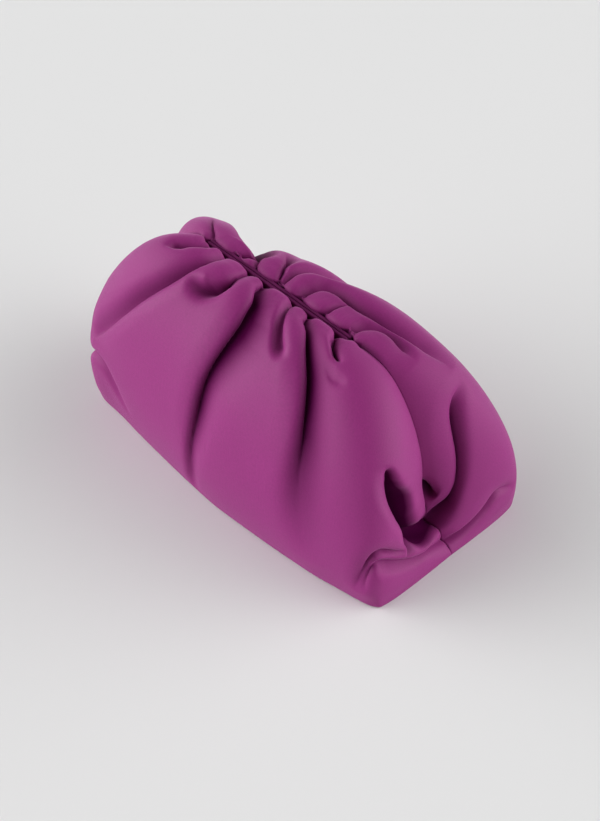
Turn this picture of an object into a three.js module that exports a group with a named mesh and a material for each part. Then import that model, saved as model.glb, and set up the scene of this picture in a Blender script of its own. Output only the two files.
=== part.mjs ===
// A gathered pouch clutch that stands on its own base. Two soft cloth panels are sewn together
// down both ends and along the bottom, and their upper edges are gathered onto a pair of slim
// cloth-covered bars that close the mouth.
// Millimetres, +Z up. The bag is long in X, its front faces -Y, and it rests on Z = 0.
import * as THREE from 'three';
import { RoundedBoxGeometry } from 'three/addons/geometries/RoundedBoxGeometry.js';

// Driving dimensions
const CLOTH = 2.0; // thickness of the bonded cloth wall
const BOTTOM_GAP = 0.3; // clear gap between the two panels under the middle of the bag
const BASE_ROUND = 6.0; // how far the fold at the base edge reaches up the wall and in along the floor
const MOUTH = { forward: 7.0, turn: 0.03, drop: 0.06 }; // the mouth leans forward, turns and dips to the right
const BAR = { length: 137.0, thick: 2.6, height: 10.0, gap: 0.6, middle: -7.5, top: 148.0, edge: 1.2 };
const RIM = { besideBar: 0.5, slit: 0.35, closing: 5.0 }; // clearances, and how fast the rims close past the bars
const MESH = { columns: 54, wallRows: 18, cornerRows: 2, floorRows: 3, mouthShare: 0.6 };
const COLOURS = { panel: 0x8e3c77, bar: 0x7c2c64 };

const table = (columns, rows) => rows.map((row) => Object.fromEntries(columns.map((name, i) => [name, row[i]])));

// Thirteen sections round the bag, from the left side seam to the right one. The rim is the sewn
// upper edge: along the bars in the middle, then down each end to the foot of the mouth slit.
// hang is the share of the mouth's lean that reaches the section. The foot is the base edge, and seamX
// is where the section's strip of floor ends, on the bottom seam.
const SECTIONS = table(['rimX', 'rimZ', 'hang', 'footX', 'seamX'], [
  [-131, 38, 0, -151.5, -139],
  [-129, 66, 0.2, -151, -132],
  [-123, 100, 0.5, -147, -122],
  [-108, 129, 0.8, -124, -108],
  [-82, 146, 1, -96, -90],
  [-45, 147, 1, -50, -48],
  [-5, 147, 1, 0, 0],
  [34, 147, 1, 52, 48],
  [68, 147, 1, 98, 90],
  [96, 138, 0.8, 130, 108],
  [115, 106, 0.5, 149, 122],
  [122.5, 69, 0.2, 151.3, 132],
  [124.7, 38, 0, 151.6, 139],
]);

// The same sections for each panel: how far the base edge stands out, how the cloth leads away
// from the rim, and how it bellies out above the base edge.
const SHAPE_COLUMNS = ['footOut', 'leadX', 'leadOut', 'leadZ', 'bellyX', 'bellyOut', 'bellyZ'];
const FRONT_SHAPE = table(SHAPE_COLUMNS, [
  [0.3, -9, 0, -12, 4, 0, 11],
  [28, -22, 17, -1, -3, 6, 36],
  [55, -36, 35, 9, -6, 17, 64],
  [60, -31, 40, 22, -5, 26, 83],
  [65, -16, 42, 34, -3, 27, 88],
  [72.5, -4, 41, 36, 0, 26, 83],
  [79, 0, 41, 36, 0, 26, 81],
  [80, 4, 40, 34, 0, 26, 80],
  [79, 14, 39, 28, 3, 26, 80],
  [75.5, 25, 38, 18, 5, 24, 72],
  [70, 32, 33, 8, 6, 15, 58],
  [36, 19, 16, -2, 3, 6, 34],
  [0.3, 9, 0, -12, -4, 0, 11],
]);
const BACK_SHAPE = table(SHAPE_COLUMNS, [
  [0.3, -9, 0, -12, 4, 0, 11],
  [30, -22, 17, -1, -3, 6, 35],
  [60, -36, 30, 8, -6, 15, 60],
  [66, -31, 33, 19, -5, 23, 77],
  [69, -14, 31, 21, -3, 24, 62],
  [71, -4, 36, 25, 0, 24, 64],
  [72, 0, 38, 30, 0, 25, 71],
  [72, 4, 43, 35, 0, 26, 84],
  [71, 13, 41, 29, 3, 26, 83],
  [70, 22, 37, 19, 4, 22, 75],
  [66, 25, 28, 8, 5, 12, 59],
  [34, 19, 16, -2, 3, 5, 34],
  [0.3, 9, 0, -12, -4, 0, 11],
]);

// Folds, each a crease that runs from, via and to places on its panel. Across runs from -6 at the
// left seam to 6 at the right one, one step a section. Down runs from 0 at the rim to 1 at the base
// edge. Depth is how far the crease sinks, over a half width that changes from its first end to its
// last, and fadeIn and fadeOut are the shares of its length over which it dies away.
const FOLD_COLUMNS = ['fromAcross', 'fromDown', 'viaAcross', 'viaDown', 'toAcross', 'toDown',
  'depth', 'firstWidth', 'lastWidth', 'fadeIn', 'fadeOut'];
const FRONT_FOLDS = table(FOLD_COLUMNS, [
  [-1.70, 0.00, -1.90, 0.09, -2.25, 0.24, 9, 6, 9, 0.0, 0.7], // top of the left shoulder
  [-1.15, 0.00, -1.45, 0.36, -3.15, 0.68, 11, 6, 9, 0.0, 0.7], // long crease under the left shoulder
  [-0.68, 0.00, -0.73, 0.13, -0.78, 0.28, 9, 6, 8, 0.0, 0.7],
  [-0.18, 0.00, 0.05, 0.42, -0.42, 0.92, 19, 6, 16, 0.0, 0.5], // deep valley left of the middle
  [0.40, 0.00, 0.82, 0.18, 1.10, 0.37, 9, 6, 8, 0.0, 0.7],
  [0.86, 0.00, 1.65, 0.42, 2.20, 0.84, 18, 6, 16, 0.0, 0.6], // deep valley right of the middle
  [1.55, 0.00, 1.88, 0.12, 2.20, 0.25, 8, 6, 8, 0.0, 0.7],
  [3.65, 0.34, 4.40, 0.54, 6.00, 0.42, 12, 9, 7, 0.5, 0.0], // tuck round the foot of the slit
  [3.40, 0.88, 4.30, 0.72, 6.00, 0.66, 5, 6, 6, 0.3, 0.0], // crease above the base edge
  [-3.65, 0.34, -4.40, 0.54, -6.00, 0.42, 12, 9, 7, 0.5, 0.0],
  [-3.40, 0.88, -4.30, 0.72, -6.00, 0.66, 5, 6, 6, 0.3, 0.0],
]);
const BACK_FOLDS = table(FOLD_COLUMNS, [
  [-1.70, 0.00, -1.90, 0.08, -2.25, 0.22, 8, 6, 9, 0.0, 0.7],
  [-1.20, 0.00, -1.15, 0.20, -1.30, 0.70, 12, 6, 14, 0.0, 0.7],
  [-0.68, 0.00, -0.73, 0.08, -0.80, 0.22, 8, 6, 8, 0.0, 0.7],
  [-0.15, 0.00, -0.36, 0.18, -0.30, 0.80, 15, 6, 15, 0.0, 0.6],
  [0.40, 0.00, 0.55, 0.07, 0.80, 0.16, 8, 6, 7, 0.0, 0.7],
  [0.90, 0.00, 1.60, 0.13, 2.50, 0.54, 15, 6, 13, 0.0, 0.6], // long valley toward the right end
  [1.50, 0.00, 2.00, 0.06, 2.80, 0.18, 8, 6, 8, 0.0, 0.7],
  [3.60, 0.34, 4.55, 0.40, 6.00, 0.42, 12, 9, 7, 0.5, 0.0], // tuck round the foot of the slit
  [3.70, 0.74, 4.80, 0.75, 6.00, 0.66, 5, 6, 6, 0.3, 0.0], // crease above the base edge
  [-3.60, 0.34, -4.55, 0.40, -6.00, 0.42, 12, 9, 7, 0.5, 0.0],
  [-3.70, 0.74, -4.80, 0.75, -6.00, 0.66, 5, 6, 6, 0.3, 0.0],
]);
const FOLD = { steps: 24, rimReach: 0.07, roundness: 0.9, merge: 3 }; // merge keeps close folds from adding up

const { clamp, lerp, smoothstep } = THREE.MathUtils;
const LAST = (SECTIONS.length - 1) / 2; // across at the right seam
const FLOOR = 1.3; // down where the floor begins, past the turn at the base edge

// The curves that a panel hangs on: the mouth line, how the cloth leads off it, how it bellies over
// the base edge, the base edge itself, and the bottom seam. side is -1 for the front and 1 for the back.
function panelCurves(shape, side) {
  const points = { mouth: [], lead: [], belly: [], foot: [], seam: [] };
  SECTIONS.forEach(({ rimX, rimZ, hang, footX, seamX }, i) => {
    const { footOut, leadX, leadOut, leadZ, bellyX, bellyOut, bellyZ } = shape[i];
    const lean = hang * (MOUTH.forward + MOUTH.turn * rimX);
    points.mouth.push(new THREE.Vector3(rimX, -lean, rimZ - hang * MOUTH.drop * rimX));
    points.lead.push(new THREE.Vector3(leadX, side * leadOut, leadZ));
    points.belly.push(new THREE.Vector3(bellyX, side * bellyOut, bellyZ));
    points.foot.push(new THREE.Vector3(footX, side * footOut, 0));
    points.seam.push(new THREE.Vector3(seamX, side * BOTTOM_GAP / 2, 0));
  });
  return Object.fromEntries(Object.entries(points).map(
    ([name, list]) => [name, new THREE.CatmullRomCurve3(list, false, 'catmullrom', 0.5)]));
}

// How far the rim stands off the mouth line: clear of the bar, then shut to a slit past its ends
function rimOut(x) {
  const pastBar = Math.abs(x - BAR.middle) - BAR.length / 2;
  const besideBar = BAR.gap / 2 + BAR.thick + RIM.besideBar;
  return lerp(besideBar, RIM.slit, smoothstep(pastBar, 0, RIM.closing));
}

// A panel's smooth sheet. Down 0 to 1 is the wall, then 1 to 2 turns in and runs under the bag.
function smoothSheet(curves, side) {
  const at = (curve, across) => curve.getPoint(clamp((across / LAST + 1) / 2, 0, 1));
  return (across, down) => {
    const rim = at(curves.mouth, across);
    rim.y += side * rimOut(rim.x);
    const foot = at(curves.foot, across);
    const belly = at(curves.belly, across);
    const wall = new THREE.CubicBezierCurve3(
      rim, at(curves.lead, across).add(rim), belly.clone().add(foot), foot);
    const seam = at(curves.seam, across);
    const floor = foot.distanceTo(seam);
    const reach = Math.min(BASE_ROUND, 0.4 * floor);
    const turn = reach / (3 * belly.length()); // share of the wall that the turn takes
    if (down <= 1) return wall.getPoint(down * (1 - turn));
    const inner = foot.clone().lerp(seam, reach / floor);
    if (down <= FLOOR) {
      return new THREE.QuadraticBezierCurve3(wall.getPoint(1 - turn), foot, inner).getPoint((down - 1) / (FLOOR - 1));
    }
    return inner.lerp(seam, (down - FLOOR) / (2 - FLOOR));
  };
}

// Unit normal of a smooth sheet, out of the bag. It has no share along Y at the side seams, so that
// the two panels sink together there.
function sheetNormal(sheet, across, down, side) {
  if (down >= FLOOR) return new THREE.Vector3(0, 0, -1);
  const step = 0.01;
  const inside = clamp(across, -LAST + 2 * step, LAST - 2 * step);
  const alongAcross = sheet(inside + step, down).sub(sheet(inside - step, down));
  const alongDown = sheet(inside, Math.min(down + step, 2)).sub(sheet(inside, Math.max(down - step, 0)));
  const normal = alongAcross.cross(alongDown).multiplyScalar(side);
  normal.y *= smoothstep(LAST - Math.abs(across), 0, 0.5);
  return normal.normalize();
}

// Each fold as a polyline that lies on the smooth sheet, with the quadratic through its three places
function foldPaths(folds, sheet) {
  return folds.map((fold) => {
    const path = [];
    for (let i = 0; i <= FOLD.steps; i += 1) {
      const k = i / FOLD.steps;
      const weights = [(1 - k) * (1 - 2 * k), 4 * k * (1 - k), k * (2 * k - 1)];
      const across = weights[0] * fold.fromAcross + weights[1] * fold.viaAcross + weights[2] * fold.toAcross;
      const down = weights[0] * fold.fromDown + weights[1] * fold.viaDown + weights[2] * fold.toDown;
      path.push(sheet(across, clamp(down, 0, 1)));
    }
    return { ...fold, path };
  });
}

// How deep the folds sink the cloth at a point of the smooth sheet
function sinkAt(folds, point, down) {
  const line = new THREE.Line3();
  const nearest = new THREE.Vector3();
  let sink = 0;
  for (const fold of folds) {
    let best = Infinity;
    let along = 0;
    for (let i = 0; i < FOLD.steps; i += 1) {
      line.set(fold.path[i], fold.path[i + 1]);
      const share = line.closestPointToPointParameter(point, true);
      const distance = line.at(share, nearest).distanceTo(point);
      if (distance < best) {
        best = distance;
        along = (i + share) / FOLD.steps;
      }
    }
    const width = lerp(fold.firstWidth, fold.lastWidth, along);
    const fadeIn = fold.fadeIn > 0 ? smoothstep(along, 0, fold.fadeIn) : 1;
    const fadeOut = fold.fadeOut > 0 ? smoothstep(1 - along, 0, fold.fadeOut) : 1;
    const crease = Math.exp(FOLD.roundness - Math.hypot(best / width, FOLD.roundness));
    sink += (fold.depth * fadeIn * fadeOut * crease) ** FOLD.merge;
  }
  return sink ** (1 / FOLD.merge) * smoothstep(down, 0, FOLD.rimReach) * smoothstep(1.05 - down, 0, 0.12);
}

// Where the mesh lines run: closer together along the mouth, where the gathers are
function meshLines() {
  const across = [];
  for (let i = 0; i <= MESH.columns; i += 1) {
    const w = 2 * i / MESH.columns - 1;
    across.push(LAST * w * (MESH.mouthShare + (1 - MESH.mouthShare) * w * w));
  }
  const down = [];
  for (let i = 0; i < MESH.wallRows; i += 1) down.push((i / MESH.wallRows) ** 1.25);
  for (let i = 0; i < MESH.cornerRows; i += 1) down.push(1 + (FLOOR - 1) * i / MESH.cornerRows);
  for (let i = 0; i <= MESH.floorRows; i += 1) down.push(FLOOR + (2 - FLOOR) * i / MESH.floorRows);
  return { across, down };
}

// A panel as a closed cloth wall: an outer skin, an inner skin one thickness inside it, and the
// four cut edges between them.
function clothPanel(shape, folds, side) {
  const sheet = smoothSheet(panelCurves(shape, side), side);
  const paths = foldPaths(folds, sheet);
  const { across, down } = meshLines();
  const rows = down.length;
  const positions = [];
  const outer = [];
  const inner = [];
  across.forEach((a) => {
    down.forEach((d) => {
      const point = sheet(a, d);
      const normal = sheetNormal(sheet, a, d, side);
      const sink = d < 1.05 ? sinkAt(paths, point, d) : 0;
      outer.push(positions.length / 3);
      positions.push(...point.clone().addScaledVector(normal, -sink).toArray());
      inner.push(positions.length / 3);
      point.addScaledVector(normal, -sink - CLOTH);
      point.z = Math.max(point.z, CLOTH * smoothstep(d, 0.9, 1)); // the inner skin stays above the floor
      positions.push(...point.toArray());
    });
  });
  const index = [];
  const quad = (a, b, c, d) => index.push(...(side < 0 ? [a, b, c, a, c, d] : [a, c, b, a, d, c]));
  const id = (i, j) => i * rows + j;
  for (let i = 0; i < across.length - 1; i += 1) {
    for (let j = 0; j < rows - 1; j += 1) {
      const corners = [id(i, j), id(i, j + 1), id(i + 1, j + 1), id(i + 1, j)];
      if (across[i] < 0) corners.push(corners.shift()); // mirrored diagonals on the left half
      quad(...corners.map((k) => outer[k]));
      quad(...corners.map((k) => inner[k]).reverse());
    }
    quad(outer[id(i + 1, 0)], inner[id(i + 1, 0)], inner[id(i, 0)], outer[id(i, 0)]);
    quad(outer[id(i, rows - 1)], inner[id(i, rows - 1)], inner[id(i + 1, rows - 1)], outer[id(i + 1, rows - 1)]);
  }
  for (let j = 0; j < rows - 1; j += 1) {
    const end = across.length - 1;
    quad(outer[id(0, j)], inner[id(0, j)], inner[id(0, j + 1)], outer[id(0, j + 1)]);
    quad(outer[id(end, j + 1)], inner[id(end, j + 1)], inner[id(end, j)], outer[id(end, j)]);
  }
  const geometry = new THREE.BufferGeometry();
  geometry.setAttribute('position', new THREE.Float32BufferAttribute(positions, 3));
  geometry.setIndex(index);
  geometry.computeVertexNormals();
  return geometry;
}

// One cloth-covered bar of the mouth frame, lying along the mouth just inside its panel's rim
function frameBar(side) {
  const geometry = new RoundedBoxGeometry(BAR.length, BAR.thick, BAR.height, 2, BAR.edge);
  geometry.translate(0, side * (BAR.gap + BAR.thick) / 2, -BAR.height / 2);
  geometry.rotateY(Math.atan(MOUTH.drop));
  geometry.rotateZ(-Math.atan(MOUTH.turn));
  geometry.translate(BAR.middle, -(MOUTH.forward + MOUTH.turn * BAR.middle), BAR.top - MOUTH.drop * BAR.middle);
  return geometry;
}

function piece(name, geometry, colour) {
  const mesh = new THREE.Mesh(geometry, new THREE.MeshStandardMaterial({ color: colour, roughness: 0.6 }));
  mesh.name = name;
  return mesh;
}

const bag = new THREE.Group();
bag.name = 'clutch_bag';
bag.add(
  piece('front_panel', clothPanel(FRONT_SHAPE, FRONT_FOLDS, -1), COLOURS.panel),
  piece('back_panel', clothPanel(BACK_SHAPE, BACK_FOLDS, 1), COLOURS.panel),
  piece('front_frame_bar', frameBar(-1), COLOURS.bar),
  piece('back_frame_bar', frameBar(1), COLOURS.bar),
);

// The origin goes under the middle of the bag's box, on the surface that it stands on
const box = new THREE.Box3().setFromObject(bag);
const middle = box.getCenter(new THREE.Vector3());
for (const mesh of bag.children) mesh.geometry.translate(-middle.x, -middle.y, -box.min.z);

export default bag;
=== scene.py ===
# A gathered pouch clutch in plum satin-faced cloth, standing on a pale floor.
# Lengths in the tables are millimetres in the sewing frame: X along the bag, the front toward -Y,
# the side seams in the plane Y = 0 and the floor at Z = 0.
import math
import bmesh
import bpy
import numpy as np
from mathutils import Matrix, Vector


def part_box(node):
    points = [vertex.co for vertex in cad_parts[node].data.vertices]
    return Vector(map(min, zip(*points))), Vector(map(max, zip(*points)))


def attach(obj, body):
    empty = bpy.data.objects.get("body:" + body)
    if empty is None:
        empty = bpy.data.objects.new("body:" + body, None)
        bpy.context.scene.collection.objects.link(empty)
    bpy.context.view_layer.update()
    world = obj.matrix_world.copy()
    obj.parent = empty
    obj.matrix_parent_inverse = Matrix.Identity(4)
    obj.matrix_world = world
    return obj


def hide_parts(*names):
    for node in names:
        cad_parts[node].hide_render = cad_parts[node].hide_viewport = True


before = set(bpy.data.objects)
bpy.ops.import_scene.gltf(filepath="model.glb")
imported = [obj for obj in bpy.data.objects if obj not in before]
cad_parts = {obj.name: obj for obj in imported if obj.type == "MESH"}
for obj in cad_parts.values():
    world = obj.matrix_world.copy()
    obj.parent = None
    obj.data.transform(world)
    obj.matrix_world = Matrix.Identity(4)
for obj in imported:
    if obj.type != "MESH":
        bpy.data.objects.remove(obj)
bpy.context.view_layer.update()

# The front panel: one piece of thick satin-faced cloth. Its upper edge is gathered and sewn onto the mouth
# bar and runs on down both ends as a lip of the slit. At the ends it is sewn to the back panel, and its
# lower edge turns under the bag to the seam along the middle of the bottom.

MM = 0.001
CLOTH = 2.0  # thickness of the wall
# A place on a panel is given across, from -LAST at the left side seam to LAST at the right one, and down,
# from 0 at the rim over BASE at the base edge and FLOOR, where the flat bottom begins, to SEAM.
LAST = 6.0
BASE, FLOOR, SEAM = 1.0, 1.3, 2.0
BOTTOM_GAP = 0.3  # between the two panels along the bottom seam
BASE_ROUND, ROUND_SHARE = 3.0, 0.4  # reach of the turn under the bag, and its share of the bottom at most
CORNER = 0.45  # how near the base edge comes to a straight line from section to section
CORNER_FROM = 0.93  # where down the wall that begins
MOUTH_FORWARD, MOUTH_TURN, MOUTH_DROP = 7.0, 0.03, 0.06  # the mouth's place, its turn and its slope
BAR_MIDDLE, BAR_HALF = -7.5, 68.5  # along X
BAR_OUT = 3.4  # from the middle of the mouth to the rim beside a bar
# stretches past a bar's end where the rims draw together, the lips close, and the dip and the rise end
RIM_CLOSES, LIPS_CLOSE = (-25.0, 45.0), (-1.0, 5.0)
DIP_ENDS, RISE_ENDS = (0.0, 14.0), (-20.0, 40.0)
LIP_DOWN = 0.12  # how far down the wall a lip reaches
RIM_DIP, RIM_RISE = 4.0, 1.8  # beside the bars the sewn edge sits lower, and the cloth next to it higher
RISE_DOWN, RISE_FADES = 0.05, 0.5  # where down the wall the rise is full, and where it has faded
RIM_LEAN = {-1: 4.0, 1: 5.5}  # how far the front and the back lean in before they turn out
LEAN_DOWN, LEAN_WIDTH = 0.03, 0.02  # where down the wall they do

# One row a section, from the left side seam to the right one. Hang is the section's share in the mouth's
# place, turn and slope.
#    rim x, rim z, hang, foot x, seam x
SECTIONS = np.array([
    [-131.0, 38, 0.0, -151.5, -139],
    [-129.0, 66, 0.2, -151.0, -132],
    [-123.0, 100, 0.5, -147.0, -122],
    [-108.0, 129, 0.8, -124.0, -108],
    [-82.0, 146, 1.0, -96.0, -90],
    [-45.0, 147, 1.0, -50.0, -48],
    [-5.0, 147, 1.0, 0.0, 0],
    [34.0, 147, 1.0, 52.0, 48],
    [68.0, 147, 1.0, 98.0, 90],
    [96.0, 138, 0.8, 130.0, 108],
    [115.0, 106, 0.5, 149.0, 122],
    [122.5, 69, 0.2, 151.3, 132],
    [120.5, 38, 0.0, 151.6, 139]])
# The wall of each section: how far out its foot stands, and two handles of its curve, the lead away from
# the rim and the belly up from the foot.
#    foot out, lead x, lead out, lead z, belly x, belly out, belly z
FRONT_SHAPE = np.array([
    [0.06, -9, 0, -12, 4, 0, 11],
    [28, -22, 17, -1, -3, 6, 36],
    [55, -36, 35, 9, -6, 17, 64],
    [60, -31, 40, 22, -5, 26, 83],
    [65, -16, 42, 34, -3, 27, 88],
    [72.5, -4, 41, 36, 0, 26, 83],
    [79, 0, 41, 36, 0, 26, 81],
    [80, 4, 40, 34, 0, 26, 80],
    [79, 14, 39, 28, 3, 26, 80],
    [75.5, 25, 38, 18, 5, 24, 72],
    [70, 31, 34, 8, 1, 7, 58],
    [36, 9, 16, -2, 2, 4, 34],
    [0.06, 9, 0, -12, -4, 0, 11]])


def smoothstep(x, low, high):
    """0 below low, 1 above high, and smooth between them."""
    k = np.clip((x - low) / (high - low), 0.0, 1.0)
    return k * k * (3.0 - 2.0 * k)


def through_rows(rows, place):
    """A natural cubic spline through a table's rows, one step of place a row."""
    count = len(rows)
    system = 4.0 * np.eye(count) + np.eye(count, k=1) + np.eye(count, k=-1)
    bends = np.zeros(rows.shape)
    bends[1:-1] = 6.0 * (rows[:-2] - 2.0 * rows[1:-1] + rows[2:])
    bends[1:-1] = np.linalg.solve(system[1:-1, 1:-1], bends[1:-1])
    first = np.clip(place.astype(int), 0, count - 2)
    k = (np.clip(place, 0, count - 1) - first)[:, None]
    rest = 1.0 - k
    return (rest * rows[first] + k * rows[first + 1]
            + ((rest ** 3 - rest) * bends[first] + (k ** 3 - k) * bends[first + 1]) / 6.0)


def smooth_sheet(shape, side, across, down):
    """Points of a panel before it is folded, in millimetres. side is -1 for the front, 1 for the back."""
    rim_x, rim_z, hang, foot_x, seam_x = SECTIONS.T
    mouth = np.stack([rim_x, -hang * (MOUTH_FORWARD + MOUTH_TURN * rim_x),
                      rim_z - hang * MOUTH_DROP * rim_x], 1)
    flat = np.zeros(len(SECTIONS))
    mirror = np.array([1.0, side, 1.0])
    section = across + LAST
    rim = through_rows(mouth, section)
    past_bar = np.abs(rim[:, 0] - BAR_MIDDLE) - BAR_HALF
    closed = smoothstep(past_bar, *RIM_CLOSES)
    rim[:, 1] += side * (BAR_OUT - BAR_OUT * closed)
    lead = rim + through_rows(shape[:, 1:4] * mirror, section)
    feet = np.stack([foot_x, side * shape[:, 0], flat], 1)
    straight = np.stack([np.interp(section, np.arange(len(feet)), column) for column in feet.T], 1)
    foot = through_rows(feet, section)
    belly = through_rows(shape[:, 4:7] * mirror, section)
    seam = through_rows(np.stack([seam_x, flat + side * BOTTOM_GAP / 2, flat], 1), section)
    under = np.linalg.norm(seam - foot, axis=1, keepdims=True)
    reach = np.minimum(BASE_ROUND, ROUND_SHARE * under)
    last = 1.0 - reach / (3.0 * np.linalg.norm(belly, axis=1, keepdims=True))

    def wall(k):
        return ((1 - k) ** 3 * rim + 3 * k * (1 - k) ** 2 * lead
                + 3 * k * k * (1 - k) * (foot + belly) + k ** 3 * foot)

    row = down[:, None]
    inner = foot + (seam - foot) * reach / under
    turn = np.clip((row - BASE) / (FLOOR - BASE), 0.0, 1.0)
    corner = (1 - turn) ** 2 * wall(last) + 2 * turn * (1 - turn) * foot + turn ** 2 * inner
    bottom = inner + (seam - inner) * np.clip((row - FLOOR) / (SEAM - FLOOR), 0.0, 1.0)
    below = np.where(row <= FLOOR, corner, bottom)
    points = np.where(row <= BASE, wall(np.minimum(row, BASE) * last), below)
    points += ((straight - foot) * CORNER * smoothstep(row, CORNER_FROM, BASE)
               * (1.0 - smoothstep(row, FLOOR, SEAM)))
    shut = (smoothstep(past_bar, *LIPS_CLOSE) - closed) * (1.0 - smoothstep(down, 0.0, LIP_DOWN))
    points[:, 1] -= side * BAR_OUT * shut
    beside_bar = 1.0 - smoothstep(past_bar, *DIP_ENDS)
    risen = smoothstep(down, 0.0, RISE_DOWN)
    rise = RIM_RISE * (1.0 - smoothstep(past_bar, *RISE_ENDS)) * risen
    dip = RIM_DIP * beside_bar * (1.0 - risen)
    points[:, 2] += rise * (1.0 - smoothstep(down, RISE_DOWN, RISE_FADES)) - dip
    lean = np.exp(-((down - LEAN_DOWN) / LEAN_WIDTH) ** 2)
    points[:, 1] -= side * RIM_LEAN[side] * beside_bar * lean
    return points


SLOPE_STEP = 0.01  # step of across and of down over which a slope is taken
BARS_END = (2.2, 3.2)  # the stretch across, to either side, where the sewn edge ends and the slit begins
LEVEL_SEAM, LEVEL_LIP = 0.5, 0.15  # reach of the level normals across from a seam and down from a lip


def sheet_normals(shape, side, across, down):
    """Unit normals out of the bag. They have no share along Y at the slit's lips and the side seams."""
    inside = np.clip(across, -LAST + 2 * SLOPE_STEP, LAST - 2 * SLOPE_STEP)
    along_across = (smooth_sheet(shape, side, inside + SLOPE_STEP, down)
                    - smooth_sheet(shape, side, inside - SLOPE_STEP, down))
    along_down = (smooth_sheet(shape, side, inside, np.minimum(down + SLOPE_STEP, SEAM))
                  - smooth_sheet(shape, side, inside, np.maximum(down - SLOPE_STEP, 0.0)))
    normals = np.cross(along_across, along_down) * side
    at_lip = smoothstep(np.abs(across), *BARS_END) * (1.0 - smoothstep(down, 0.0, LEVEL_LIP))
    normals[:, 1] *= smoothstep(LAST - np.abs(across), 0.0, LEVEL_SEAM) * (1.0 - at_lip)
    normals[down >= FLOOR] = (0, 0, -1)
    return normals / np.linalg.norm(normals, axis=1, keepdims=True)


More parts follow.
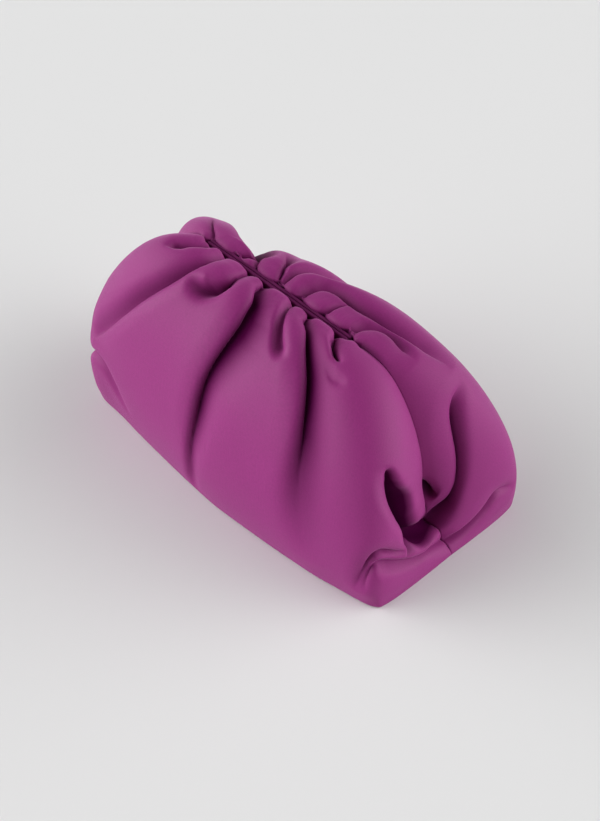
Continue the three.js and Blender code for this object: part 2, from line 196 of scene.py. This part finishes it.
# Folds. Each is a crease along a path of (across, down) places. The other columns hold values spread
# evenly along the path: how deep the crease sinks, how far the cloth beside it laps over it (from its
# left if positive), how wide it is to its left and to its right, and how softly it rises on each side,
# from 0 for the round edge of a lobe to 1 for a hollow and 2 for a trough with a flat bottom. A path that
# runs down has the right end of the bag on its right, and one that runs to the right has the rim there.
# Some rows end with how many times its depth the fold's painted shade reaches under the cloth that laps over
# it.
#    path
#    depth, lap
#     left, right, soft left, soft right, painted darker
FRONT_FOLDS = [
    # gathers at the mouth, from the left shoulder on
    (((-1.58, 0), (-1.68, 0.045), (-1.80, 0.08), (-1.90, 0.12), (-1.95, 0.17), (-1.93, 0.23)),
     (4, 9, 13, 15, 11, 0), (2, 3, 4, 4, 2, 0),
     (3,), (5, 7, 8, 8), (0, 0, 0.5), (1,)),
    (((-1.18, 0), (-1.13, 0.06), (-1.12, 0.14), (-1.17, 0.21), (-1.32, 0.32), (-1.52, 0.41), (-1.79, 0.49),
      (-2.27, 0.60), (-3.0, 0.68), (-3.35, 0.70)),
     (4, 7, 9, 10, 11, 10, 9, 7, 5, 2), (-2, -3, -4, -4, -4, -4, -3, -3, -2, -1),
     (5, 7, 8, 9, 9, 10, 11), (3, 3, 3, 4), (0.5, 1, 1), (0,)),
    (((-0.66, 0), (-0.68, 0.08), (-0.69, 0.15), (-0.72, 0.21), (-0.78, 0.26), (-0.88, 0.29), (-1.0, 0.29),
      (-1.1, 0.26)),
     (4, 8, 13, 15, 15, 12, 7, 0), (2, 3, 4, 3, 0, 0, 0, 0),
     (3, 3, 5, 6), (5, 7, 7, 6), (0, 0, 0.8, 1), (0.5, 1)),
    (((0.46, 0), (0.52, 0.06), (0.62, 0.14), (0.72, 0.22), (0.86, 0.295), (1.02, 0.345)),
     (4, 6, 8, 9, 8, 0), (-2, -3, -3, -2, -1, 0),
     (4, 6, 7, 6, 5), (3,), (1,), (0, 0, 0.4)),
    (((1.50, 0), (1.60, 0.035), (1.72, 0.08), (1.86, 0.14), (2.0, 0.195)),
     (5, 8, 11, 12, 0), (-1, -2, -2, -2, 0),
     (3, 4, 4), (2.5,), (0.5,), (0,)),
    (((1.66, 0.20), (1.76, 0.25), (1.92, 0.28), (2.10, 0.275), (2.30, 0.255)),
     (0, 3, 4, 3, 0), (0,),
     (4,), (6,), (0.3,), (1,)),
    # the two long pleats of the front
    (((-0.26, 0), (-0.27, 0.07), (-0.15, 0.18), (-0.11, 0.28), (-0.12, 0.36), (-0.23, 0.47), (-0.34, 0.58),
      (-0.38, 0.69), (-0.40, 0.77), (-0.43, 0.85), (-0.46, 0.97)),
     (5, 9, 12, 12, 12, 11, 10, 9, 7, 5, 3), (2, 4, 6, 6, 6, 6, 5, 4, 3, 2, 0),
     (3, 3.5, 4), (4, 9, 18, 26, 26, 23, 19, 17, 14, 10, 7),
     (0, 0, 0, 0, 0, 0, 0.1, 0.3, 0.5, 0.8, 0.8), (1,), 1.7),
    (((0.80, 0), (0.84, 0.06), (1.0, 0.14), (1.18, 0.25), (1.38, 0.36), (1.50, 0.46), (1.58, 0.55),
      (1.65, 0.64), (1.72, 0.73), (1.85, 0.84), (2.0, 0.94)),
     (5, 9, 12, 12, 12, 11, 10, 8, 6, 3, 0), (2, 4, 6, 6, 6, 6, 5, 3, 1, 0, 0),
     (3, 3.5, 4, 4, 4, 6, 10, 14, 16), (3, 6, 12, 18, 21, 23, 24, 24, 22),
     (0, 0, 0, 0, 0.2, 0.5, 1, 1, 1), (1,), 1.7),
    # right end: the tuck beside the roll of the slit, its run under the roll, and the creases below
    (((3.57, 0.385), (3.65, 0.42), (3.74, 0.45), (3.93, 0.475), (4.17, 0.495), (4.43, 0.52), (4.66, 0.575),
      (4.76, 0.67)),
     (0, 18, 30, 34, 34, 30, 21, 6), (0, 3, 4, 4, 4, 3, 3, 1),
     (3.5,), (2.5, 5, 7.5, 9.5, 12, 14, 14, 10), (0,), (1, 1.5, 2, 2, 2, 1.5), 2.6),
    (((4.45, 0.43), (4.62, 0.445), (4.80, 0.465), (4.98, 0.50), (5.16, 0.55), (5.42, 0.535), (5.72, 0.46),
      (6.0, 0.38)),
     (0, 2, 7, 16, 25, 21, 14, 11), (0, 0, -1, -2, -3, -3, -2, 0),
     (8, 11, 11, 10, 7), (4,), (1, 1.5, 2, 1.5, 1), (1, 0.5, 0), 2.6),
    (((3.14, 0.95), (3.24, 0.88), (3.40, 0.815), (3.60, 0.765), (3.83, 0.73), (4.12, 0.71), (4.45, 0.715),
      (4.68, 0.72)),
     (0, 4, 6, 7, 8, 8, 7, 3), (0, -1, -2, -2, -2, -2, -2, -1),
     (5,), (3,), (1,), (0,)),
    (((3.42, 0.94), (3.52, 0.88), (3.70, 0.83), (3.92, 0.795), (4.30, 0.785), (4.94, 0.80), (5.36, 0.785),
      (6.0, 0.74)),
     (0, 4, 6, 7, 8, 6, 5, 5), (0, 1, 2, 2, 0, -2, -3, 0),
     (3, 3, 4, 6, 5, 3, 3), (5, 6, 5, 3, 3), (0, 0, 0.5, 1, 0.5, 0), (1, 1, 0, 0)),
    # left end, in the same way
    (((-3.70, 0.34), (-3.90, 0.40), (-4.15, 0.46), (-4.45, 0.54), (-4.60, 0.62)),
     (0, 10, 14, 12, 3), (0, -4, -5, -5, -2),
     (6,), (4,), (0.6,), (0,)),
    (((-6.0, 0.36), (-5.55, 0.49), (-5.18, 0.555), (-4.60, 0.58), (-4.25, 0.56)),
     (8, 11, 13, 11, 4), (0, -4, -6, -5, -2),
     (7,), (4,), (1,), (0,)),
    (((-6.0, 0.74), (-5.36, 0.78), (-4.94, 0.79), (-4.30, 0.76), (-3.70, 0.76), (-3.03, 0.80), (-2.53, 0.87),
      (-1.95, 0.94)),
     (5, 5, 5, 5, 5, 4, 3, 0), (0, -2, -2, -2, -2, -1, 0, 0),
     (3,), (4,), (0.5,), (0,)),
]
FOLD_STEPS = 48  # straight runs in a crease
FOLD_REACH = 4.0  # a fold ends this many widths from its crease, and begins to end at half of them
SHARP = 0.12  # roundness of a crease's bottom, in widths
STEEP = 10  # steepness of a trough's sides
MERGE = 3.0  # close folds merge, so that they don't add up
FOLDS_END, BASE_FADE = 1.05, 0.12  # folds end below the base edge, and fade over this much of down
RIM_FADE = (-0.02, 0.04)  # and they flatten toward the sewn edge
RIM_PAINTED_SHADE, RIM_PAINTED_SHADE_DOWN = 13.0, 0.035  # the sewn edge gets painted shade as dark as a fold of this depth, down to here


def spread(values, along):
    """Values spread evenly along a path, read at shares of its length."""
    return np.interp(along, np.linspace(0, 1, len(values)), values) if len(values) > 1 else values[0]


def folded_sheet(shape, folds, side, across, down):
    """The panel's points once every fold has sunk and lapped, and the depth of painted shade that each gets.
    """
    points = smooth_sheet(shape, side, across, down)
    normals = sheet_normals(shape, side, across, down)
    sink = np.zeros(len(points))
    painted_shade_sum = np.zeros(len(points))
    slide = np.zeros_like(points)
    for path, depth, lap, left, right, soft_left, soft_right, *painted_darker in folds:
        places = through_rows(np.array(path, float), np.linspace(0, len(path) - 1, FOLD_STEPS + 1))
        crease = smooth_sheet(shape, side, places[:, 0], np.clip(places[:, 1], 0, BASE))
        reach = FOLD_REACH * max(left + right)
        inside = (points > crease.min(0) - reach) & (points < crease.max(0) + reach)
        near = np.where(inside.all(1) & (down < FOLDS_END))[0]
        run = np.diff(crease, axis=0)
        offset = points[near, None] - crease[None, :-1]
        share = np.clip((offset * run).sum(2) / (run * run).sum(1), 0, 1)
        offset -= share[:, :, None] * run
        distance = np.linalg.norm(offset, axis=2)
        step = distance.argmin(1)
        nearest = np.arange(len(near)), step
        along = (step + share[nearest]) / FOLD_STEPS
        to_right = np.cross(normals[near], run[step]) * -side
        to_right /= np.maximum(np.linalg.norm(to_right, axis=1, keepdims=True), 1e-9)
        on_right = (offset[nearest] * to_right).sum(1) > 0
        away = distance[nearest] / np.where(on_right, spread(right, along), spread(left, along))
        soft = np.where(on_right, spread(soft_right, along), spread(soft_left, along))
        ends = 1.0 - smoothstep(away, 0.5 * FOLD_REACH, FOLD_REACH)
        lobe = np.exp(SHARP - np.hypot(away, SHARP))
        rise = (np.maximum(1 - soft, 0) * lobe + (1 - np.abs(1 - soft)) * np.exp(-away ** 2)
                + np.maximum(soft - 1, 0) / (1 + away ** STEEP))
        fall = spread(depth, along) * ends * rise
        sink[near] += fall ** MERGE
        laps = spread(lap, along)
        over = on_right == (laps < 0)
        painted_share_under_lap = np.where(over, np.minimum(soft, 1.0), 1.0)
        painted_darkness = painted_darker[0] if painted_darker else 1.0
        # painted shade: the fold's depth, made deeper under a lap, for the material to paint the cloth dark
        painted_shade_sum[near] += (fall * (1.0 + (painted_darkness - 1.0) * painted_share_under_lap)) ** MERGE
        slide[near] += to_right * (laps * over * ends * away * np.exp(1.0 - away))[:, None]
    at_bar = 1.0 - smoothstep(np.abs(across), *BARS_END)
    above_base = smoothstep(FOLDS_END - down, 0.0, BASE_FADE)
    ease = above_base * (1.0 - at_bar * (1.0 - smoothstep(down, *RIM_FADE)))
    sunk = ease * sink ** (1 / MERGE)
    # painted shade along the sewn edge beside the bars
    painted_rim_shade = RIM_PAINTED_SHADE * at_bar * (1.0 - smoothstep(down, 0.0, RIM_PAINTED_SHADE_DOWN))
    painted_shade = np.maximum(above_base * painted_shade_sum ** (1 / MERGE), painted_rim_shade)
    return points + slide * ease[:, None] - normals * sunk[:, None], painted_shade


COLUMNS, WALL_ROWS, CORNER_ROWS, FLOOR_ROWS = 320, 132, 6, 6
ROWS_CLOSER = 1.1  # power that sets the wall's rows closer toward the rim
# how close the columns stand at the left end, how much closer in the middle, and less so at the right end
END_CLOSE, MIDDLE_CLOSER, RIGHT_LESS = 0.75, 0.85, 0.5
MIDDLE_FROM, RIGHT_FROM = (-2.6, -2.0), (2.4, 3.2)  # the stretches across where that changes
COLUMN_PLACES = 241  # places across where it is worked out
EVENED = 0.5  # share of the way that a point goes to its neighbours' middle, against steps in the folds
ACROSS_LENGTH, DOWN_LENGTH = 40.0, 160.0  # cloth in one step of across and of down
SEAM_PLANE = np.array(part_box("front_panel")[1])[1] / MM + BOTTOM_GAP / 2  # the sewing frame's Y = 0


def cloth_panel(name, shape, folds, side):
    """A panel's mesh: a flat grid, laid along the smooth sheet and folded, in metres."""
    rows = WALL_ROWS + CORNER_ROWS + FLOOR_ROWS
    bm = bmesh.new()
    bmesh.ops.create_grid(bm, x_segments=COLUMNS, y_segments=rows, size=1.0)
    flat = np.array([v.co[:2] for v in bm.verts])
    place = np.linspace(-LAST, LAST, COLUMN_PLACES)
    share = np.cumsum(END_CLOSE + MIDDLE_CLOSER * smoothstep(place, *MIDDLE_FROM)
                      - RIGHT_LESS * smoothstep(place, *RIGHT_FROM))
    across = np.interp(flat[:, 0], 2.0 * (share - share[0]) / (share[-1] - share[0]) - 1.0, place)
    line_down = np.concatenate([
        np.linspace(0, BASE, WALL_ROWS, endpoint=False) ** ROWS_CLOSER,
        np.linspace(BASE, FLOOR, CORNER_ROWS, endpoint=False),
        np.linspace(FLOOR, SEAM, FLOOR_ROWS + 1)])
    line = np.rint((1.0 + flat[:, 1]) / 2.0 * rows).astype(int)
    down = line_down[line]
    points, painted_shade = folded_sheet(shape, folds, side, across, down)
    order = np.lexsort((flat[:, 0], line))
    grid = points[order].reshape(rows + 1, COLUMNS + 1, 3)
    around = (grid[:-2, 1:-1] + grid[2:, 1:-1] + grid[1:-1, :-2] + grid[1:-1, 2:]) / 4.0
    grid[1:-1, 1:-1] += EVENED * (around - grid[1:-1, 1:-1])
    points[order] = grid.reshape(-1, 3)
    for vert, point in zip(bm.verts, points):
        vert.co = Vector((point[0], point[1] + SEAM_PLANE, point[2])) * MM
    if side < 0:
        bmesh.ops.reverse_faces(bm, faces=bm.faces)
    mesh = bpy.data.meshes.new(name)
    bm.to_mesh(mesh)
    bm.free()
    mesh.shade_smooth()
    # the depth of painted shade, which the cloth's material paints as dark colour in the folds
    mesh.attributes.new("painted_shade", "FLOAT", "POINT").data.foreach_set("value", painted_shade)
    corners = np.empty(len(mesh.loops), int)
    mesh.loops.foreach_get("vertex_index", corners)
    laid_flat = np.stack([across * ACROSS_LENGTH, down * DOWN_LENGTH], 1) * MM
    mesh.uv_layers.new(name="weave").data.foreach_set("uv", laid_flat[corners].ravel())
    panel = bpy.data.objects.new(name, mesh)
    bpy.context.scene.collection.objects.link(panel)
    wall = panel.modifiers.new("wall", "SOLIDIFY")
    wall.thickness = CLOTH * MM
    wall.offset = -1.0
    return panel


front_panel = cloth_panel("front_panel_cloth", FRONT_SHAPE, FRONT_FOLDS, -1)


class Shade:
    """A socket of a shader tree that takes part in arithmetic."""

    def __init__(self, tree, socket=None):
        self.tree = tree
        self.socket = socket

    def node(self, kind, settings, values, output=0):
        """The output of a new node, given its settings and then its inputs' values or links."""
        made = self.tree.nodes.new(kind)
        for name, value in settings.items():
            setattr(made, name, value)
        for name, value in values.items():
            if isinstance(value, Shade):
                self.tree.links.new(value.socket, made.inputs[name])
            else:
                made.inputs[name].default_value = value
        return Shade(self.tree, made.outputs[output])

    def math(self, operation, first, second=0.0):
        """A Math node's result."""
        return self.node("ShaderNodeMath", {"operation": operation}, {0: first, 1: second})

    def __add__(self, other):
        return self.math("ADD", self, other)

    def __radd__(self, other):
        return self.math("ADD", other, self)

    def __sub__(self, other):
        return self.math("SUBTRACT", self, other)

    def __rsub__(self, other):
        return self.math("SUBTRACT", other, self)

    def __mul__(self, other):
        return self.math("MULTIPLY", self, other)

    def __rmul__(self, other):
        return self.math("MULTIPLY", other, self)

    def __truediv__(self, other):
        return self.math("DIVIDE", self, other)

    def __rtruediv__(self, other):
        return self.math("DIVIDE", other, self)

    def __pow__(self, other):
        return self.math("POWER", self, other)

    def __rpow__(self, other):
        return self.math("POWER", other, self)


PLUM, PAINTED_SHADOW = (0.25, 0.0205, 0.158), (0.05, 0.0004, 0.03)  # the cloth, and the painted shadow colour mixed into a deep fold
FULL_PAINTED_SHADE = 18.0  # depth at which a fold's painted shadow is full
FOLD_PAINTED_SHADE, SHADE_CURVE = 0.95, 1.3  # share of painted shadow there, and how late it sets in
PAINTED_BLACK_FROM, PAINTED_BLACK_BY = 1.6, 4.0  # how many full shades deep the painted shadow itself begins and ends to darken
PAINTED_BLACK = 0.85  # share of its colour that the painted shadow loses by then
THREAD, FLOAT_STEP = 0.0005, 0.0012  # spacing of the face threads and of the diagonal of their floats
WAVE, DIAGONAL_WAVE = math.tau / 20, math.tau / 10  # a Wave node's spacing at scale 1
SLUBS, PATCHES, GRAIN = (1200, 160, 1200), 28.0, 750.0  # scales of thick threads, of wear and of fibres
TONE, SLUB_TONE, PATCH_TONE, GRAIN_TONE = 0.74, 0.14, 0.10, 0.28
THREAD_RELIEF, FLOAT_RELIEF, RELIEF, RELIEF_HEIGHT = 0.5, 0.3, 0.3, 0.0002
ROUGH, PATCH_ROUGH = 0.5, 0.16
SATIN_FINISH = {"Specular IOR Level": 0.22, "Sheen Weight": 0.25, "Sheen Roughness": 0.4,
                "Sheen Tint": (1.0, 0.45, 0.85, 1)}


def satin_cloth(name, place_node, settings, output, finish, painted_shade_tone=1.0):
    """Satin-faced cloth with its threads along the place that a node of this kind gives, in metres. Painted
    shadow is mixed into its folds, and its tone can be scaled down as painted shade.
    """
    material = bpy.data.materials.new(name)
    material.use_nodes = True
    nodes = material.node_tree.nodes
    links = material.node_tree.links
    cloth = Shade(material.node_tree)
    place = cloth.node(place_node, settings, {}, output)
    threads = cloth.node("ShaderNodeTexWave", {"bands_direction": "X"},
                         {"Vector": place, "Scale": WAVE / THREAD}, "Fac")
    floats = cloth.node("ShaderNodeTexWave", {"bands_direction": "DIAGONAL"},
                        {"Vector": place, "Scale": DIAGONAL_WAVE / FLOAT_STEP}, "Fac")
    stretched = cloth.node("ShaderNodeMapping", {}, {"Vector": place, "Scale": SLUBS})
    slub = cloth.node("ShaderNodeTexNoise", {}, {"Vector": stretched, "Scale": 1.0, "Detail": 2.0}, "Fac")
    patches = cloth.node("ShaderNodeTexNoise", {}, {"Vector": place, "Scale": PATCHES, "Detail": 2.0}, "Fac")
    grain = cloth.node("ShaderNodeTexNoise", {}, {"Vector": place, "Scale": GRAIN, "Detail": 3.0}, "Fac")
    # the first factor is painted shade, for cloth that lies in shade
    tone = painted_shade_tone * (TONE + SLUB_TONE * slub + PATCH_TONE * patches + GRAIN_TONE * grain)
    colour = cloth.node("ShaderNodeVectorMath", {"operation": "SCALE"}, {0: PLUM, "Scale": tone})
    height = THREAD_RELIEF * threads + FLOAT_RELIEF * floats + slub + grain
    relief = cloth.node("ShaderNodeBump", {},
                        {"Height": height, "Strength": RELIEF, "Distance": RELIEF_HEIGHT})
    surface = nodes["Principled BSDF"]
    links.new(colour.socket, surface.inputs["Base Color"])
    links.new((ROUGH + PATCH_ROUGH * patches).socket, surface.inputs["Roughness"])
    links.new(relief.socket, surface.inputs["Normal"])
    for socket, value in finish.items():
        surface.inputs[socket].default_value = value
    # painted shadow: a dark cloth mixed in by each fold's depth of painted shade, near black in the deepest
    deep = cloth.node("ShaderNodeAttribute", {"attribute_name": "painted_shade"}, {}, "Fac") / FULL_PAINTED_SHADE
    painted_shadow_share = FOLD_PAINTED_SHADE * cloth.math("MINIMUM", deep, 1.0) ** SHADE_CURVE
    past_full = cloth.math("MAXIMUM", (deep - PAINTED_BLACK_FROM) / (PAINTED_BLACK_BY - PAINTED_BLACK_FROM), 0.0)
    left_over = 1.0 - PAINTED_BLACK * cloth.math("MINIMUM", past_full, 1.0)
    painted_shadow_core = cloth.node("ShaderNodeVectorMath", {"operation": "SCALE"}, {0: PAINTED_SHADOW, "Scale": left_over})
    painted_shadow_bsdf = cloth.node("ShaderNodeBsdfPrincipled", {}, {"Base Color": painted_shadow_core, "Roughness": 1.0,
                                                         "Specular IOR Level": 0.0})
    lit = Shade(cloth.tree, surface.outputs[0])
    mixed = cloth.node("ShaderNodeMixShader", {}, {0: painted_shadow_share, 1: lit, 2: painted_shadow_bsdf})
    links.new(mixed.socket, nodes["Material Output"].inputs["Surface"])
    return material


satin = satin_cloth("plum_satin", "ShaderNodeUVMap", {"uv_map": "weave"}, "UV", SATIN_FINISH)
front_panel.data.materials.append(satin)
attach(front_panel, "root")
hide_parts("front_panel")

# The back panel: the same thick cloth on the far side, gathered onto its own bar in the same way. It is
# sewn to the front panel at both ends and along the middle of the bottom. Its gathers rise behind the mouth
# in high lobes.

BACK_SHAPE = np.array([
    [0.06, -9, 0, -12, 4, 0, 11],
    [30, -22, 17, -1, -3, 6, 35],
    [60, -36, 30, 8, -6, 15, 60],
    [66, -31, 33, 19, -5, 23, 77],
    [69, -14, 31, 21, -3, 24, 62],
    [71, -4, 36, 23, 0, 24, 64],
    [72, 0, 38, 36, 0, 25, 71],
    [72, 4, 43, 35, 0, 26, 84],
    [71, 13, 41, 29, 3, 26, 83],
    [70, 22, 37, 19, 4, 22, 75],
    [66, 25, 28, 8, 5, 12, 59],
    [34, 19, 16, -2, 3, 5, 34],
    [0.06, 9, 0, -12, -4, 0, 11]])
BACK_FOLDS = [
    # gathers at the mouth, from the left shoulder on
    (((-1.58, 0), (-1.85, 0.06), (-2.05, 0.14), (-2.40, 0.28)),
     (5, 5, 4, 0), (-1, -2, -2, 0),
     (3, 4), (3,), (0.5, 1), (0,)),
    (((-1.20, 0), (-1.15, 0.03), (-0.98, 0.065), (-0.90, 0.10), (-1.02, 0.15), (-1.27, 0.22),
      (-1.58, 0.32), (-1.85, 0.45), (-2.0, 0.70)),
     (4, 8, 11, 18, 26, 30, 27, 16, 0), (1, 2, 3, 3, 2, 0, 0, 0, 0),
     (3, 3.5, 5, 8, 10), (3, 4, 8, 12, 14), (0, 0, 0.3, 1, 1), (0.5, 1)),
    (((-0.60, 0), (-0.70, 0.04), (-0.80, 0.08), (-0.88, 0.14)),
     (4, 6, 6, 0), (-1, -2, -2, 0),
     (3,), (3,), (0.5,), (0,)),
    (((-0.13, 0), (-0.37, 0.10), (-0.47, 0.18), (-0.80, 0.31)),
     (7, 8, 9, 0), (3, 4, 4, 0),
     (3, 4, 6), (4, 6, 9), (0,), (0.5, 1)),
    (((-0.05, 0), (0.0, 0.09), (0.12, 0.18), (0.32, 0.25), (0.56, 0.38), (0.80, 0.55), (0.9, 0.75)),
     (6, 8, 10, 12, 12, 9, 0), (-2, -4, -5, -5, -4, -2, 0),
     (5, 7, 12, 16), (4, 5, 8, 12), (0.5, 1, 1), (0,)),
    (((0.93, 0), (0.99, 0.03), (1.07, 0.06), (1.20, 0.10)),
     (6, 7, 7, 0), (-1, -2, -2, 0),
     (3,), (3,), (0.3,), (0,)),
    # the long valleys toward the right end
    (((0.39, 0), (0.42, 0.03), (0.50, 0.08), (0.65, 0.115), (0.87, 0.12), (1.19, 0.115), (1.64, 0.15),
      (2.08, 0.21), (2.51, 0.27), (2.98, 0.34)),
     (7, 9, 10, 12, 13, 14, 14, 12, 8, 0), (-2, -3, -3, -4, -5, -5, -5, -4, -2, 0),
     (4, 7, 11, 14, 15), (4, 4, 5, 6, 8), (0.5, 1, 1), (0,)),
    (((1.53, 0), (1.65, 0.025), (1.79, 0.055), (2.03, 0.10), (2.30, 0.12), (2.58, 0.13), (2.95, 0.15)),
     (6, 7, 8, 9, 9, 7, 0), (-2, -3, -4, -4, -4, -2, 0),
     (4, 6, 8, 10), (3, 4, 5, 6), (0.5, 1, 1), (0,)),
    # right end: a crease across the foot of the slit's roll, the valley behind it, and the crease below
    (((5.52, 0), (5.60, 0.06), (5.66, 0.12), (5.68, 0.18), (5.66, 0.24)),
     (10, 15, 17, 13, 0), (2, 3, 3, 3, 0),
     (2.5,), (4, 5, 5, 4), (0,), (1,)),
    (((3.20, 0.36), (3.50, 0.29), (3.78, 0.24), (4.05, 0.22), (4.40, 0.235), (4.86, 0.295), (5.25, 0.36),
      (5.60, 0.40), (6.0, 0.38)),
     (0, 4, 9, 12, 12, 11, 11, 12, 11), (0, -2, -4, -5, -5, -5, -5, -3, 0),
     (6, 8, 8, 6, 5, 7), (4,), (1,), (0,)),
    (((6.0, 0.74), (5.67, 0.82), (5.23, 0.82), (4.96, 0.80), (4.70, 0.78), (4.43, 0.82), (4.10, 0.88)),
     (5, 5, 5, 5, 5, 4, 0), (0, 2, 3, 3, 2, 1, 0),
     (4,), (3,), (0,), (0.5,)),
    # left end, in the same way
    (((-6.0, 0.36), (-5.60, 0.46), (-5.25, 0.45), (-4.86, 0.38), (-4.35, 0.30), (-3.97, 0.28),
      (-3.72, 0.33)),
     (8, 12, 13, 13, 11, 8, 0), (0, -4, -6, -6, -5, -4, 0),
     (7, 10, 15), (4,), (1,), (0,)),
    (((-6.0, 0.74), (-5.67, 0.82), (-5.23, 0.82), (-4.96, 0.80), (-4.70, 0.78), (-4.43, 0.82),
      (-4.10, 0.88)),
     (5, 5, 5, 5, 5, 4, 0), (0, -2, -3, -3, -2, -1, 0),
     (3,), (4,), (0.5,), (0,)),
]
back_panel = cloth_panel("back_panel_cloth", BACK_SHAPE, BACK_FOLDS, 1)
back_panel.data.materials.append(satin)
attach(back_panel, "root")
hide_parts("back_panel")

# The two mouth bars: slim strips, taken to be metal, covered with the panels' cloth and pressed together
# where the mouth is shut. The gathers are sewn to them. They keep their built shape. Their cover lies in
# the shade between the gathers, so its colour is painted darker there as painted shade, and it has no sheen.

# painted shade: share of the cloth's colour that the bars' cover keeps
BAR_PAINTED_SHADE = 0.5
BAR_FINISH = {"Specular IOR Level": 0.08}
painted_shade_bar_cover = satin_cloth("bar_satin_painted_shade", "ShaderNodeTexCoord", {}, "Object", BAR_FINISH, BAR_PAINTED_SHADE)
for name in ("front_frame_bar", "back_frame_bar"):
    for material_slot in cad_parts[name].material_slots:
        material_slot.material = painted_shade_bar_cover

# The floor: a plain, pale, dull sheet that reaches past the picture on all sides. The bag stands on it by
# its flat bottom.

FLOOR_HALF = 6.0
FLOOR_GREY, FLOOR_ROUGH = (0.78, 0.78, 0.78, 1), 0.9
bm = bmesh.new()
bmesh.ops.create_grid(bm, x_segments=1, y_segments=1, size=FLOOR_HALF)
floor_mesh = bpy.data.meshes.new("floor")
bm.to_mesh(floor_mesh)
bm.free()
floor = bpy.data.objects.new("floor", floor_mesh)
bpy.context.scene.collection.objects.link(floor)
paper = bpy.data.materials.new("pale_floor")
paper.use_nodes = True
paper_surface = paper.node_tree.nodes["Principled BSDF"]
paper_surface.inputs["Base Color"].default_value = FLOOR_GREY
paper_surface.inputs["Roughness"].default_value = FLOOR_ROUGH
floor.data.materials.append(paper)

# The light: two large soft walls of light, at the left of the front and at the right of the back, and a
# weak light from all round that fades to none toward the camera's side, so that the folds stand out.

ALL_ROUND = 0.24
DARK_SIDE, DARK_TOWARD = 0.24, (0.53, -0.54, 0.65)  # what the light all round loses, and where most
WALLS = (((-0.730, -0.683, 0.0), 7.3), ((0.775, 0.632, 0.0), 6.3))  # direction toward a wall, and its power
WALL_EDGE = 4.0  # how fast a wall's light falls off beside its middle
bpy.context.scene.view_settings.view_transform = "Standard"
world = bpy.data.worlds.new("studio")
bpy.context.scene.world = world
world.use_nodes = True
sky = Shade(world.node_tree)
toward = sky.node("ShaderNodeTexCoord", {}, {}, "Generated")


def sky_facing(direction):
    """How squarely the sky faces a direction, and 0 on its far half."""
    facing = sky.node("ShaderNodeVectorMath", {"operation": "DOT_PRODUCT"},
                      {0: toward, 1: direction}, "Value")
    return sky.math("MAXIMUM", facing, 0.0)


strength = ALL_ROUND - DARK_SIDE * sky_facing(DARK_TOWARD)
for direction, power in WALLS:
    strength = strength + power * sky_facing(direction) ** WALL_EDGE
background = world.node_tree.nodes["Background"]
background.inputs["Color"].default_value = (1, 1, 1, 1)
world.node_tree.links.new(strength.socket, background.inputs["Strength"])

# The camera: it stands to the right of the front and looks down on the bag at the photo's angle. Its
# distance and its focal length, in pixels of the picture, were fitted with the bag's outline.

CAMERA_AZIMUTH, CAMERA_ELEVATION = math.radians(44.4), math.radians(40.7)
CAMERA_DISTANCE, FOCAL_PIXELS, PICTURE_HEIGHT = 1.3, 1825.2, 821
LOOKS_AT = (1.1, 5.8, 37.1)  # in the sewing frame
SENSOR_HEIGHT = 24.0
target = Vector((LOOKS_AT[0], LOOKS_AT[1] + SEAM_PLANE, LOOKS_AT[2])) * MM
back = Vector((math.sin(CAMERA_AZIMUTH) * math.cos(CAMERA_ELEVATION),
               -math.cos(CAMERA_AZIMUTH) * math.cos(CAMERA_ELEVATION), math.sin(CAMERA_ELEVATION)))
lens = bpy.data.cameras.new("camera")
lens.sensor_fit = "VERTICAL"
lens.sensor_height = SENSOR_HEIGHT
lens.lens = FOCAL_PIXELS / PICTURE_HEIGHT * SENSOR_HEIGHT
camera = bpy.data.objects.new("camera", lens)
camera.location = target + back * CAMERA_DISTANCE
camera.rotation_euler = back.to_track_quat("Z", "Y").to_euler()
bpy.context.scene.collection.objects.link(camera)
bpy.context.scene.camera = camera
